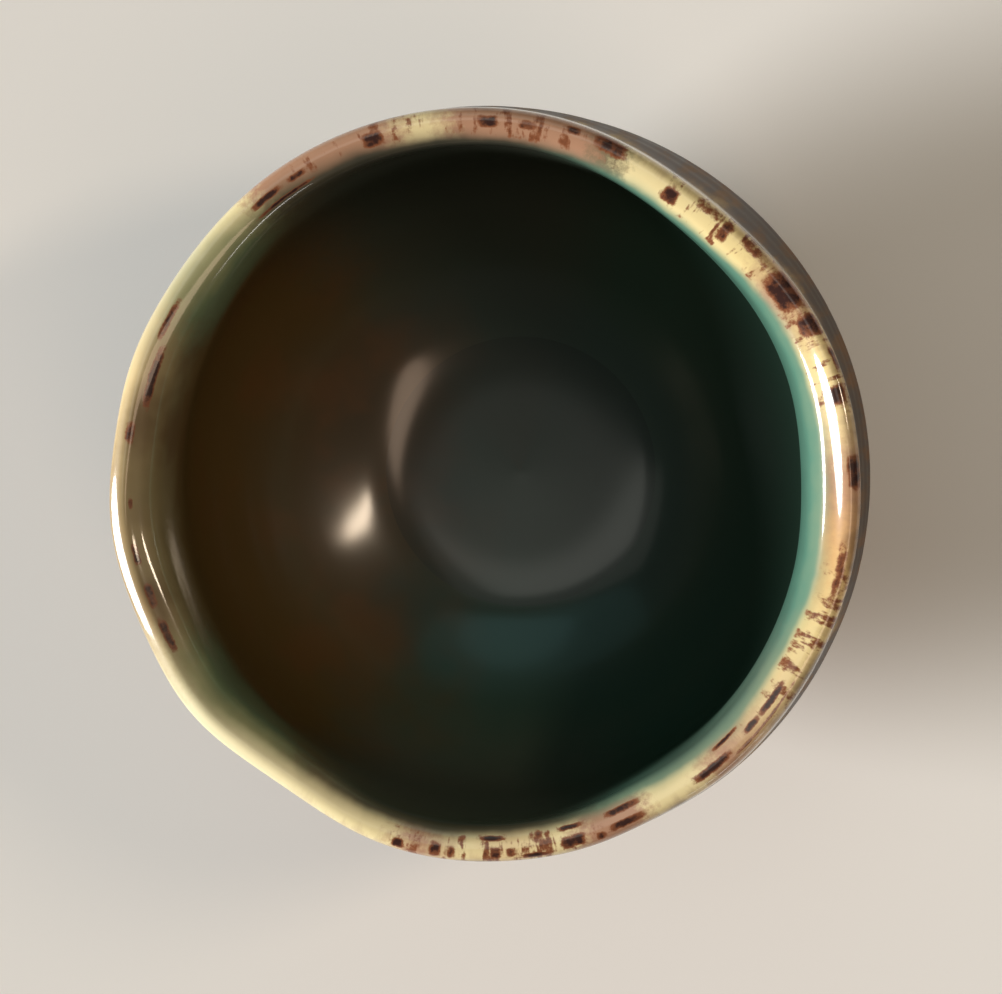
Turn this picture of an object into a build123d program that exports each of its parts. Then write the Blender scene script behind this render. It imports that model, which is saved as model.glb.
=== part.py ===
"""A hand-formed sake cup: a stoneware bowl luted to a foot ring, under three glazes and a pool of glass.

Millimetres and degrees. +Z is up, and the origin is the middle of the foot on the table.
"""

import math
import os

from build123d import *

# The cup as a whole, over its glazes
CUP_HEIGHT = 50.0  # table to the highest point of the lip
MOUTH_DIAMETER = 70.6  # over the lip, before the fingers pressed it in
BELLY_DIAMETER = 72.8  # over the widest part
BELLY_LEVEL = 30.0  # height of the widest part

# The lip: hand-cut, so it leans, and pressed in by the fingers at a few places
LIP_WIDTH = 3.3  # over both glazes
LIP_ROUND = 0.75  # radius on both edges of the clay
LIP_LEAN = 1.0  # height lost from the high side to the low side
LIP_LOW_SIDE = 235.0  # direction of the low side
FINGER_PRESSES = (  # direction, depth, half width
    (2.0, 0.45, 13.0),
    (52.0, 1.25, 23.0),
    (145.0, 0.45, 17.0),
    (172.0, 0.35, 9.0),
    (204.0, 0.5, 11.0),
    (236.0, 1.3, 15.0),
    (298.0, 0.3, 8.0),
)

# The inside, over its glaze
THROAT_WALL = 4.9  # wall at the throat, where it is thickened under the lip, glazes included
THROAT_OVAL = 0.9  # added to that wall along X and taken off it along Y
THROAT_DROP = 7.5  # depth of the throat under the lip
BELLY_WALL = 5.0  # wall at the widest part, glazes included
FLOOR_DIAMETER = 22.0  # flat of the clay floor
FLOOR_THICKNESS = 4.6  # clay under the inside of the cup

# The foot ring, and the slip that joins it to the bowl
FOOT_DIAMETER = 35.0  # outside, at the top of the ring
FOOT_HEIGHT = 5.6  # table to the underside of the bowl
FOOT_WIDTH = 4.6  # across the ring
FOOT_TAPER = 0.7  # how much the outside draws in towards the table
FOOT_EDGE = 0.8  # rounding of the edges on the table
SLIP_FILM = 0.4  # thickness of the slip in the joint
SLIP_BEAD = 1.0  # slip squeezed out on each side of the ring
BASE_LEDGE = 0.8  # flat of the bowl's underside left outside the bead

# The glazes
OUTSIDE_GLAZE = 0.45
INSIDE_GLAZE = 0.5
LIP_GLAZE = 0.4
LIP_BAND = 3.2  # depth to which the lip was dipped
POOL_DEPTH = 1.4  # glass on the floor, at its edge
POOL_DISH = 0.5  # how far the middle of the pool lies under its edge
BARE_CLAY = 8.5  # height left unglazed over the foot, on average
GLAZE_LINE_SLANT = 3.5  # the cup was held by the foot and dipped askew
GLAZE_LINE_LOW_SIDE = 300.0  # direction in which the glaze runs lowest

# How finely the hand-formed surfaces are described
OUTLINE_POINTS = 48
HIP_SHARES = (0.0, 0.06, 0.18, 0.36, 0.6, 0.82, 1.0)  # levels from the floor up to the belly
WALL_SHARES = (0.35, 0.7, 1.0)  # levels from the belly up to the throat
HIP_FULLNESS = 2.6  # how far the curve from the base to the belly is filled out; 1 is a straight cone
SPARE = 1.5  # how far the forms run past the lip before it is cut
ROUND_LIMIT = 0.36  # most of the lip that one rounded edge may take, since a leaning wall has a sharp edge

# Sizes that follow from these
bowl_mouth = MOUTH_DIAMETER / 2 - OUTSIDE_GLAZE
bowl_belly = BELLY_DIAMETER / 2 - OUTSIDE_GLAZE
bowl_base = FOOT_DIAMETER / 2 + SLIP_BEAD + BASE_LEDGE
cavity_mouth = MOUTH_DIAMETER / 2 - LIP_WIDTH + INSIDE_GLAZE
cavity_belly = BELLY_DIAMETER / 2 - BELLY_WALL + INSIDE_GLAZE
lip_middle = CUP_HEIGHT - LIP_LEAN / 2
throat_level = lip_middle - THROAT_DROP
floor_level = FOOT_HEIGHT + FLOOR_THICKNESS
pool_level = floor_level + POOL_DEPTH
outside_top = CUP_HEIGHT + SPARE
inside_top = outside_top + SPARE
clay_lip_width = LIP_WIDTH - OUTSIDE_GLAZE - INSIDE_GLAZE
clay_lip_round = min(LIP_ROUND, ROUND_LIMIT * clay_lip_width)


def leaning_plane(level, drop, across, low_side):
    """A nearly level plane that falls by drop over the distance across, towards the direction low_side."""
    lean = math.atan2(drop, across)
    side = math.radians(low_side)
    tip = math.sin(lean)
    return Plane(origin=(0, 0, level), z_dir=(tip * math.cos(side), tip * math.sin(side), math.cos(lean)))


def lip_plane(under):
    """The plane of the leaning lip, a distance under its middle."""
    return leaning_plane(lip_middle - under, LIP_LEAN, MOUTH_DIAMETER, LIP_LOW_SIDE)


def pressed_in(direction):
    """How far the fingers pressed the lip towards the axis, in one direction."""
    total = 0.0
    for middle, depth, half_width in FINGER_PRESSES:
        turn = (direction - middle + 180) % 360 - 180
        total += depth * math.exp(-((turn / half_width) ** 2))
    return total


def hand_share(level):
    """How much of the finger presses reaches a level: none at the belly, all at the lip."""
    share = min(max((level - BELLY_LEVEL) / (lip_middle - BELLY_LEVEL), 0.0), 1.0)
    return share * share * (3 - 2 * share)


def hip_curve(share, low, high):
    """Radius between the base and the belly, which swells quickly and arrives upright."""
    return low + (high - low) * (1 - (1 - share) ** HIP_FULLNESS)


def flare_curve(share, low, high):
    """Radius that leaves upright, reaches its full flare at the lip and runs straight on above it."""
    return low + (high - low) * (share**2 if share < 1 else 2 * share - 1)


def thrown_radius(level):
    """Radius of the clay outside, before the fingers pressed it."""
    if level < BELLY_LEVEL:
        share = (level - FOOT_HEIGHT) / (BELLY_LEVEL - FOOT_HEIGHT)
        return hip_curve(share, bowl_base, bowl_belly)
    share = (level - BELLY_LEVEL) / (lip_middle - BELLY_LEVEL)
    return flare_curve(share, bowl_belly, bowl_mouth)


def bowl_radius(level, direction):
    """Radius of the clay outside."""
    return thrown_radius(level) - pressed_in(direction) * hand_share(level)


def cavity_radius(level, direction):
    """Radius of the clay inside, with its oval throat and the flare up to the lip."""
    wall = THROAT_WALL + THROAT_OVAL * math.cos(math.radians(2 * direction))
    throat = thrown_radius(throat_level) + OUTSIDE_GLAZE - wall + INSIDE_GLAZE
    if level < BELLY_LEVEL:
        share = (level - floor_level) / (BELLY_LEVEL - floor_level)
        return hip_curve(share, FLOOR_DIAMETER / 2, cavity_belly)
    if level < throat_level:
        share = (level - BELLY_LEVEL) / (throat_level - BELLY_LEVEL)
        ease = (1 - math.cos(share * math.pi)) / 2
        radius = cavity_belly + (throat - cavity_belly) * ease
    else:
        share = (level - throat_level) / THROAT_DROP
        radius = flare_curve(share, throat, cavity_mouth)
    return radius - pressed_in(direction) * hand_share(level)


def levels_between(bottom, top):
    """Heights of the outlines, from a bottom level to a top one above the lip."""
    hip = [bottom + share * (BELLY_LEVEL - bottom) for share in HIP_SHARES]
    wall = [BELLY_LEVEL + share * (throat_level - BELLY_LEVEL) for share in WALL_SHARES]
    return hip + wall + [(throat_level + lip_middle) / 2, lip_middle, top]


def hand_form(radius_at, bottom, top, growth):
    """A solid lofted through hand-formed outlines, grown outwards by a coat's thickness."""
    turn = 360 / OUTLINE_POINTS
    with BuildPart() as form:
        for level in levels_between(bottom, top):
            with BuildSketch(Plane.XY.offset(level)):
                with BuildLine():
                    points = []
                    for step in range(OUTLINE_POINTS):
                        reach = radius_at(level, step * turn) + growth
                        angle = math.radians(step * turn)
                        points.append((reach * math.cos(angle), reach * math.sin(angle)))
                    Spline(*points, periodic=True)
                make_face()
        loft()
    return form.part


clay_outside = hand_form(bowl_radius, FOOT_HEIGHT, outside_top, 0)
glazed_outside = hand_form(bowl_radius, FOOT_HEIGHT, outside_top, OUTSIDE_GLAZE)
clay_inside = hand_form(cavity_radius, floor_level, inside_top, 0)
glazed_inside = hand_form(cavity_radius, floor_level, inside_top, -INSIDE_GLAZE)

# The bowl: one thick-walled piece of stoneware, cut level by eye and rounded at the lip
with BuildPart() as clay_body:
    add(clay_outside)
    split(bisect_by=lip_plane(LIP_GLAZE), keep=Keep.BOTTOM)
    add(clay_inside, mode=Mode.SUBTRACT)
    fillet(clay_body.faces().sort_by(Axis.Z)[-1].edges(), clay_lip_round)
clay_body.part.label = "clay_body"

# The foot ring: a coil of the same clay, drawn in towards the table and rounded where it stands
ring_top = FOOT_HEIGHT - SLIP_FILM
foot_outside = FOOT_DIAMETER / 2
foot_inside = foot_outside - FOOT_WIDTH
with BuildPart() as foot_ring:
    with BuildSketch(Plane.XZ):
        with BuildLine():
            Polyline(
                (foot_inside, 0),
                (foot_outside - FOOT_TAPER, 0),
                (foot_outside, ring_top),
                (foot_inside, ring_top),
                close=True,
            )
        make_face()
    revolve()
    fillet(foot_ring.faces().sort_by(Axis.Z)[0].edges(), FOOT_EDGE)
foot_ring.part.label = "foot_ring"

# The luting slip: a film between the ring and the bowl, with a hollow bead squeezed out on both sides
bead_foot = ring_top - SLIP_BEAD
bead_hollow = 2 * SLIP_BEAD
taper_at_bead = FOOT_TAPER * SLIP_BEAD / ring_top
with BuildPart() as foot_slip:
    with BuildSketch(Plane.XZ):
        with BuildLine():
            Polyline(
                (foot_inside - SLIP_BEAD, FOOT_HEIGHT),
                (foot_outside + SLIP_BEAD, FOOT_HEIGHT),
            )
            RadiusArc(
                (foot_outside + SLIP_BEAD, FOOT_HEIGHT),
                (foot_outside - taper_at_bead, bead_foot),
                -bead_hollow,
            )
            Polyline(
                (foot_outside - taper_at_bead, bead_foot),
                (foot_outside, ring_top),
                (foot_inside, ring_top),
                (foot_inside, bead_foot),
            )
            RadiusArc(
                (foot_inside, bead_foot),
                (foot_inside - SLIP_BEAD, FOOT_HEIGHT),
                -bead_hollow,
            )
        make_face()
    revolve()
foot_slip.part.label = "foot_slip"

# The inside glaze: a coat on the wall, from the dipped lip down to the pool
with BuildPart() as inside_glaze:
    add(clay_inside)
    split(bisect_by=lip_plane(LIP_BAND), keep=Keep.BOTTOM)
    split(bisect_by=Plane.XY.offset(pool_level), keep=Keep.TOP)
    add(glazed_inside, mode=Mode.SUBTRACT)
inside_glaze.part.label = "inside_glaze"

# The pool: glass that ran together on the floor, dished where it drew up the wall as it cooled
pool_reach = cavity_radius(pool_level, 0)
dish_radius = (pool_reach**2 + POOL_DISH**2) / (2 * POOL_DISH)
with BuildPart() as glaze_pool:
    add(clay_inside)
    split(bisect_by=Plane.XY.offset(pool_level), keep=Keep.BOTTOM)
    with Locations((0, 0, pool_level - POOL_DISH + dish_radius)):
        Sphere(dish_radius, mode=Mode.SUBTRACT)
glaze_pool.part.label = "glaze_pool"

# The outside glaze: a coat on the wall, from the dipped lip down to the slanting glaze line
glaze_line_level = FOOT_HEIGHT + BARE_CLAY
glaze_line = leaning_plane(glaze_line_level, GLAZE_LINE_SLANT, BELLY_DIAMETER, GLAZE_LINE_LOW_SIDE)
with BuildPart() as outside_glaze:
    add(glazed_outside)
    split(bisect_by=lip_plane(LIP_BAND), keep=Keep.BOTTOM)
    split(bisect_by=glaze_line, keep=Keep.TOP)
    add(clay_outside, mode=Mode.SUBTRACT)
outside_glaze.part.label = "outside_glaze"

# The lip glaze: a second dip that caps the lip and meets both coats edge to edge
with BuildPart() as lip_glaze:
    add(glazed_outside)
    split(bisect_by=lip_plane(0), keep=Keep.BOTTOM)
    add(glazed_inside, mode=Mode.SUBTRACT)
    fillet(lip_glaze.faces().sort_by(Axis.Z)[-1].edges(), clay_lip_round + LIP_GLAZE)
    split(bisect_by=lip_plane(LIP_BAND), keep=Keep.TOP)
    add(clay_body.part, mode=Mode.SUBTRACT)
lip_glaze.part.label = "lip_glaze"

os.makedirs("parts", exist_ok=True)
for piece in (clay_body, foot_ring, foot_slip, inside_glaze, glaze_pool, outside_glaze, lip_glaze):
    export_step(piece.part, f"parts/{piece.part.label}.step")
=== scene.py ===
"""The looks of a hand-formed sake cup, in metres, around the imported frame.

Dark stoneware on a luted foot, with a deep teal glaze inside, an iron glaze outside
and a cream lip broken with iron.
"""

import math

import bpy
import numpy as np
from mathutils import Matrix, Vector, noise
from mathutils.bvhtree import BVHTree


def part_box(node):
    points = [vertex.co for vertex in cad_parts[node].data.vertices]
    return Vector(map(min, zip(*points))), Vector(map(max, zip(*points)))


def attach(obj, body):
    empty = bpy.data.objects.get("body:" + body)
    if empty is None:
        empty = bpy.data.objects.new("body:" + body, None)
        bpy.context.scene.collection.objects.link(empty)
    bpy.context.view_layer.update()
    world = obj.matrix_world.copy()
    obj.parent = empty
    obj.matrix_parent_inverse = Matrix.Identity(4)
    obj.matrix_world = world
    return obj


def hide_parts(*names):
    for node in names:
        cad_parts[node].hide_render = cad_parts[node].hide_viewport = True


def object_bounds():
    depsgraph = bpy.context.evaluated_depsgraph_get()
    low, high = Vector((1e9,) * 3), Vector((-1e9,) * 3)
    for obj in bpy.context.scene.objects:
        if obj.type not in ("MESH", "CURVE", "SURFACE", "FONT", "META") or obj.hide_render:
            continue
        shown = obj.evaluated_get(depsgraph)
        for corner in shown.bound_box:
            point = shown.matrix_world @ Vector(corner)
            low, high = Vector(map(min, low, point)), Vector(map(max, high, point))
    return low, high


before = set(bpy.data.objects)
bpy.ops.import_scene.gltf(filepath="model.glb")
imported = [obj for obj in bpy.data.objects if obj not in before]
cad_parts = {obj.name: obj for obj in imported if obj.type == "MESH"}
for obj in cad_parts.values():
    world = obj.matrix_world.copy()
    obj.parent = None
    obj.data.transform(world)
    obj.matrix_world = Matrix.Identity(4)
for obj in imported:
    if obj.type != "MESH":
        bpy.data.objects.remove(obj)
cad_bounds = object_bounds()

# The bowl: one thick-walled piece of dark stoneware, thrown round, pressed in at the lip by the fingers
# and fired. The glazes are fused to all of it but the hip above the foot and the underside, which keep
# the marks of trimming.
MM = 0.001
READINGS = 120  # directions in which the frame is read
FLAT_READINGS = 30  # readings between the axis and the wall, under the bowl and on its floor
WALL_READINGS = 90  # readings up the outside and again down the inside
LIP_READINGS = 41  # readings over the lip, counting the two where the walls end
AROUND = 360  # points in each ring of a skin
WAVES = 22  # waves round the cup that the hand left; finer ones are only facets of the frame
SKIN_STEP = 0.1 * MM  # spacing of a skin's rings
CLAY_SOFTNESS = ((0, 0.45 * MM), (9 * MM, 1.0 * MM))  # distance from the lip, width of the averaging
NEAR_AXIS = 0.01 * MM  # radius of the reading nearest to the axis
LIP_TURN = 2.6 * MM  # depth under the lip's top of the line round which its skin is read
FAR_OUT = 60 * MM  # where a ray starts, outside the cup
CLEAR_OF_LIP = 7 * MM  # where a ray starts, outside the lip or the foot
SHARP_ANGLE = math.radians(50)  # faces that meet at more than this show an edge
TRIM_DEPTH = 0.09 * MM  # the trimming tool's grooves
TRIM_PITCH = 1.7 * MM
CHATTER_DEPTH = 0.035 * MM  # grit that the tool dragged
CLAY_INSET = 0.02 * MM  # how far inside its solid the clay's skin lies
BARE_BELOW = 17 * MM  # level under which the clay may show
BARE_FADE = 3 * MM  # height over which the marks of trimming set in
BARE_STEP = 0.35 * MM  # spacing of the rings where the clay may show
COVERED_STEP = 1.1 * MM  # and under the glazes


def directions(count):
    """Angles round the axis."""
    return np.linspace(0, 2 * math.pi, count, endpoint=False)


def search_tree(*names):
    """A search tree over CAD nodes, to read their skin from."""
    points = []
    faces = []
    for name in names:
        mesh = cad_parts[name].data
        first = len(points)
        points.extend(vertex.co.copy() for vertex in mesh.vertices)
        faces.extend([first + corner for corner in face.vertices] for face in mesh.polygons)
    return BVHTree.FromPolygons(points, faces)


def meet(tree, direction, start, course):
    """Radius and height where a ray, in the plane of one direction, first meets the frame."""
    across, along = math.cos(direction), math.sin(direction)
    origin = Vector((start[0] * across, start[0] * along, start[1]))
    heading = Vector((course[0] * across, course[0] * along, course[1]))
    found = tree.ray_cast(origin, heading)[0]
    return math.hypot(found.x, found.y), found.z


def soften(rings, spacing):
    """Rings averaged with their neighbours over a number of rings. The first and the last stay in place."""
    half = int(3 * spacing)
    weights = np.exp(-0.5 * (np.arange(-half, half + 1) / spacing) ** 2)
    weights /= weights.sum()
    before = 2 * rings[:1] - rings[half:0:-1]
    after = 2 * rings[-1:] - rings[-2 : -half - 2 : -1]
    padded = np.concatenate([before, rings, after])
    return np.stack([np.convolve(column, weights, "valid") for column in padded.T], axis=1)


def read_skin(names, low, floor, softness, underside):
    """The skin of the cup's wall as evenly spaced rings, counted in metres from the crest of the lip.

    The rings run up the outside from the level low, over the lip, down to the level floor and in to
    the axis. With underside, they start at the axis under the bowl. They are averaged by softness,
    since the frame has facets.
    """
    tree = search_tree(*names)
    top = max(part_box(name)[1].z for name in names)
    turn = top - LIP_TURN
    paths = []
    for direction in directions(READINGS):
        below = []
        if underside:
            edge = meet(tree, direction, (FAR_OUT, low), (-1, 0))[0]
            outwards = np.linspace(NEAR_AXIS, edge, FLAT_READINGS)[:-1]
            below = [meet(tree, direction, (radius, 0), (0, 1)) for radius in outwards]
        upwards = np.linspace(low, turn, WALL_READINGS)
        outside = [meet(tree, direction, (FAR_OUT, level), (-1, 0)) for level in upwards]
        downwards = np.linspace(turn, floor, WALL_READINGS)
        inside = [meet(tree, direction, (0, level), (1, 0)) for level in downwards]
        middle = (outside[-1][0] + inside[0][0]) / 2
        over_lip = []
        for lift in np.linspace(0, math.pi, LIP_READINGS)[1:-1]:
            out, up = math.cos(lift), math.sin(lift)
            start = (middle + out * CLEAR_OF_LIP, turn + up * CLEAR_OF_LIP)
            over_lip.append(meet(tree, direction, start, (-out, -up)))
        inwards = np.linspace(inside[-1][0], NEAR_AXIS, FLAT_READINGS)[1:]
        bottom = [meet(tree, direction, (radius, top), (0, -1)) for radius in inwards]
        crest = len(below) + len(outside) + len(over_lip) // 2
        paths.append(below + outside + over_lip + inside + bottom)
    waves = np.fft.rfft(np.array(paths).transpose(2, 1, 0), axis=2)
    waves[:, :, WAVES:] = 0
    reach, rise = np.fft.irfft(waves, n=AROUND, axis=2) * (AROUND / READINGS)
    steps = np.hypot(np.diff(reach, axis=0), np.diff(rise, axis=0))
    run = np.concatenate([np.zeros((1, AROUND)), np.cumsum(steps, axis=0)])
    run -= run[crest]
    share = np.where(run < 0, run / -run[0], run / run[-1])
    along = np.arange(run[0].mean(), run[-1].mean(), SKIN_STEP)
    even_share = np.where(along < 0, along / -run[0].mean(), along / run[-1].mean())
    starts, spans = np.array(softness).T
    zone = np.interp(np.abs(along), starts, np.arange(len(starts)))
    even = []
    for values in (reach, rise):
        columns = [np.interp(even_share, share[:, column], values[:, column]) for column in range(AROUND)]
        rings = np.stack(columns, axis=1)
        softened = []
        for span in spans:
            once = soften(rings, span / SKIN_STEP)
            softened.append(once + soften(rings - once, span / SKIN_STEP))
        weights = [np.clip(1 - np.abs(zone - number), 0, 1)[:, None] for number in range(len(spans))]
        even.append(sum(weight * version for weight, version in zip(weights, softened)))
    reach, rise = even
    outward = np.gradient(rise, SKIN_STEP, axis=0)
    upward = -np.gradient(reach, SKIN_STEP, axis=0)
    size = np.hypot(outward, upward)
    return {
        "along": along,
        "reach": reach,
        "rise": rise,
        "outward": outward / size,
        "upward": upward / size,
    }


def pick(skin, along, lift=0.0):
    """Radius and height of a skin at distances along it, raised by lift along its normal."""
    along = np.asarray(along)
    if along.ndim == 1:
        along = np.repeat(along[:, None], AROUND, axis=1)
    last_spot = len(skin["along"]) - 1.001  # so that every spot has a ring after it
    spot = np.clip((along - skin["along"][0]) / SKIN_STEP, 0, last_spot)
    lower = np.floor(spot).astype(int)
    share = spot - lower
    column = np.arange(AROUND)
    found = {}
    for name in ("reach", "rise", "outward", "upward"):
        found[name] = skin[name][lower, column] * (1 - share) + skin[name][lower + 1, column] * share
    return found["reach"] + found["outward"] * lift, found["rise"] + found["upward"] * lift


def grain(reach, rise, size, seed):
    """Smooth chance heights from -1 to 1 over rings of points, with bumps of about a size."""
    angles = directions(reach.shape[1])
    x = reach * np.cos(angles) / size
    y = reach * np.sin(angles) / size
    z = rise / size + seed
    heights = [noise.noise(point) for point in zip(x.ravel(), y.ravel(), z.ravel())]
    return np.array(heights).reshape(reach.shape)


def turned_piece(name, reach, rise, poles=False):
    """An object through rings round the axis. The rings close on themselves or, with poles, on the axis."""
    rows, count = reach.shape
    angles = directions(count)
    points = np.stack([reach * np.cos(angles), reach * np.sin(angles), rise], axis=2)
    ends = [points[0].mean(axis=0).tolist(), points[-1].mean(axis=0).tolist()]
    if poles:
        points = points[1:-1]
        rows -= 2
    here = np.arange(rows * count).reshape(rows, count)
    beside = np.roll(here, -1, axis=1)
    above, above_beside = np.roll(here, -1, axis=0), np.roll(beside, -1, axis=0)
    quads = np.stack([here, beside, above_beside, above], axis=2)
    vertices = points.reshape(-1, 3).tolist()
    faces = quads[: rows - 1 if poles else rows].reshape(-1, 4).tolist()
    if poles:
        first, last = len(vertices), len(vertices) + 1
        vertices += ends
        faces += [(first, b, a) for a, b in zip(here[0].tolist(), beside[0].tolist())]
        faces += [(last, a, b) for a, b in zip(here[-1].tolist(), beside[-1].tolist())]
    mesh = bpy.data.meshes.new(name)
    mesh.from_pydata(vertices, [], faces)
    mesh.shade_smooth()
    mesh.set_sharp_from_angle(angle=SHARP_ANGLE)
    piece = bpy.data.objects.new(name, mesh)
    bpy.context.scene.collection.objects.link(piece)
    return piece


def finish_piece(piece, material, node):
    """Gives a piece its material, and has it stand for its CAD node on the one body."""
    piece.data.materials.append(material)
    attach(piece, "root")
    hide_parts(node)


def place(tree, kind, sockets=None, **settings):
    """Adds a node, with its settings, and fills its sockets with values or with links."""
    node = tree.nodes.new(kind)
    for setting, value in settings.items():
        setattr(node, setting, value)
    for socket, value in (sockets or {}).items():
        if isinstance(value, bpy.types.NodeSocket):
            tree.links.new(value, node.inputs[socket])
        else:
            node.inputs[socket].default_value = value
    return node


def sums(tree, operation, first, second=0.0):
    """The result of a Math node."""
    return place(tree, "ShaderNodeMath", {0: first, 1: second}, operation=operation).outputs[0]


def ease(tree, value, low, high, start=0.0, end=1.0):
    """A value eased from start to end as it goes from low to high."""
    sockets = {"Value": value, "From Min": low, "From Max": high, "To Min": start, "To Max": end}
    return place(tree, "ShaderNodeMapRange", sockets, interpolation_type="SMOOTHSTEP").outputs["Result"]


def over(tree, cover, under, top):
    """One colour laid over another, by how much it covers."""
    return place(tree, "ShaderNodeMix", {0: cover, 6: under, 7: top}, data_type="RGBA").outputs[2]


def cloud(tree, vector, scale, detail=3.0, roughness=0.55):
    """Chance values from 0 to 1, as cloudy patches."""
    sockets = {"Vector": vector, "Scale": scale, "Detail": detail, "Roughness": roughness}
    return place(tree, "ShaderNodeTexNoise", sockets).outputs["Fac"]


def new_group(name, inputs, outputs):
    """An empty shader node group with named sockets: its tree, what comes in and what goes out."""
    tree = bpy.data.node_groups.new(name, "ShaderNodeTree")
    kinds = {"colour": "NodeSocketColor", "value": "NodeSocketFloat"}
    for side, sockets in (("INPUT", inputs), ("OUTPUT", outputs)):
        for socket, kind in sockets.items():
            tree.interface.new_socket(name=socket, in_out=side, socket_type=kinds[kind])
    return tree, tree.nodes.new("NodeGroupInput").outputs, tree.nodes.new("NodeGroupOutput").inputs


def use_group(tree, group, sockets):
    """A group placed in a material or in another group, with its own values: its outputs."""
    return place(tree, "ShaderNodeGroup", sockets, node_tree=group).outputs


def new_material(name, sockets):
    """A material with some sockets of its shader set: the material, its tree and the shader's inputs."""
    material = bpy.data.materials.new(name)
    material.use_nodes = True
    shader = material.node_tree.nodes["Principled BSDF"].inputs
    for socket, value in sockets.items():
        shader[socket].default_value = value
    return material, material.node_tree, shader


def raise_surface(tree, shader, height, depth):
    """Feeds a height from 0 to 1 to the shader's normal, as a bump of that depth."""
    bump = place(tree, "ShaderNodeBump", {"Height": height, "Distance": depth})
    tree.links.new(bump.outputs["Normal"], shader["Normal"])


# Fired clay: toasted in places, with dark specks of iron, pale grog and a dry gritty surface
GROG = (0.50, 0.36, 0.24, 1)
IRON_SPECK = (0.035, 0.020, 0.014, 1)
fired_clay, given, result = new_group(
    "fired_clay",
    {"Toasted": "colour", "Dark": "colour"},
    {"Colour": "colour", "Roughness": "value", "Height": "value"},
)
spot = place(fired_clay, "ShaderNodeTexCoord").outputs["Object"]
flashing = cloud(fired_clay, spot, 110.0, 4.0)
grit = cloud(fired_clay, spot, 1500.0, 4.0, 0.7)
specks = place(fired_clay, "ShaderNodeTexVoronoi", {"Vector": spot, "Scale": 620.0}).outputs["Distance"]
speck_mask = ease(fired_clay, specks, 0.20, 0.10)
toasted = over(fired_clay, ease(fired_clay, flashing, 0.36, 0.66), given["Toasted"], given["Dark"])
gritty = over(fired_clay, ease(fired_clay, grit, 0.40, 0.72, 0.0, 0.45), toasted, GROG)
specked = over(fired_clay, speck_mask, gritty, IRON_SPECK)
fired_clay.links.new(specked, result["Colour"])
fired_clay.links.new(ease(fired_clay, grit, 0.2, 0.8, 0.72, 0.95), result["Roughness"])
fired_clay.links.new(sums(fired_clay, "SUBTRACT", grit, speck_mask), result["Height"])


def clay_material(name, toasted_colour, dark_colour, depth):
    """A material of bare fired clay."""
    material, tree, shader = new_material(name, {"Specular IOR Level": 0.35})
    fired = use_group(tree, fired_clay, {"Toasted": (*toasted_colour, 1), "Dark": (*dark_colour, 1)})
    tree.links.new(fired["Colour"], shader["Base Color"])
    tree.links.new(fired["Roughness"], shader["Roughness"])
    raise_surface(tree, shader, fired["Height"], depth)
    return material


clay_low, clay_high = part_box("clay_body")
pool_low, pool_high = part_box("glaze_pool")
lowest_reading = clay_low.z + 0.02 * MM
floor_reading = pool_low.z + 0.3 * MM
clay_skin = read_skin(["clay_body"], lowest_reading, floor_reading, CLAY_SOFTNESS, True)
bare_rings = int(np.argmax(clay_skin["rise"].mean(axis=1) > BARE_BELOW))
clay_along = np.concatenate([
    np.arange(clay_skin["along"][0], clay_skin["along"][bare_rings], BARE_STEP),
    np.arange(clay_skin["along"][bare_rings], clay_skin["along"][-1], COVERED_STEP),
    clay_skin["along"][-1:],
])
reach, rise = pick(clay_skin, clay_along)
bare = np.clip((BARE_BELOW - rise) / BARE_FADE, 0, 1) * (clay_along < 0)[:, None]
wander = grain(reach, rise, 9 * MM, 3.0)
grooves = np.sin(clay_along[:, None] / TRIM_PITCH * 2 * math.pi + directions(AROUND) + wander)
chatter = grain(reach, rise, 0.9 * MM, 7.0) * CHATTER_DEPTH
reach, rise = pick(clay_skin, clay_along, (grooves * TRIM_DEPTH + chatter) * bare - CLAY_INSET)
clay_body = turned_piece("clay_body_fired", reach, np.maximum(rise, clay_low.z), poles=True)
stoneware = clay_material("bare_stoneware", (0.235, 0.118, 0.062), (0.120, 0.058, 0.034), 0.12 * MM)
finish_piece(clay_body, stoneware, "clay_body")

# The foot ring: a coil of the same clay, set on the upturned bowl, turned true and left bare.
# Its standing edge was rounded with a thumb and is worn smooth where it meets the table.
FOOT_READINGS = 140  # readings round the ring's section
FOOT_WAVER = 0.22 * MM  # how far the hand wandered as the foot was turned
FOOT_GRIT = 0.05 * MM
TURNING_DEPTH = 0.05 * MM
TURNING_PITCH = 1.3 * MM
TRUE_BELOW = 1.2 * MM  # height over which the ring runs true towards the table
TRUE_ABOVE = 0.6 * MM  # and towards the slip
foot_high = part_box("foot_ring")[1]
foot_tree = search_tree("foot_ring")
foot_outside = foot_high.x
foot_inside = meet(foot_tree, 0.0, (0, foot_high.z / 2), (1, 0))[0]
foot_middle = (foot_outside + foot_inside) / 2
foot_path = []
for lift in np.linspace(-math.pi, math.pi, FOOT_READINGS, endpoint=False):
    out, up = math.cos(lift), math.sin(lift)
    start = (foot_middle + out * CLEAR_OF_LIP, foot_high.z / 2 + up * CLEAR_OF_LIP)
    foot_path.append(meet(foot_tree, 0.0, start, (-out, -up)))
foot_path = np.array(foot_path)
reach = np.repeat(foot_path[:, :1], AROUND, axis=1)
rise = np.repeat(foot_path[:, 1:], AROUND, axis=1)
waver = grain(reach, rise, 14 * MM, 11.0) * FOOT_WAVER + grain(reach, rise, 1.1 * MM, 5.0) * FOOT_GRIT
turning = np.sin(rise / TURNING_PITCH * 2 * math.pi + directions(AROUND)) * TURNING_DEPTH
free = np.clip(rise / TRUE_BELOW, 0, 1) * np.clip((foot_high.z - rise) / TRUE_ABOVE, 0, 1)
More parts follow.
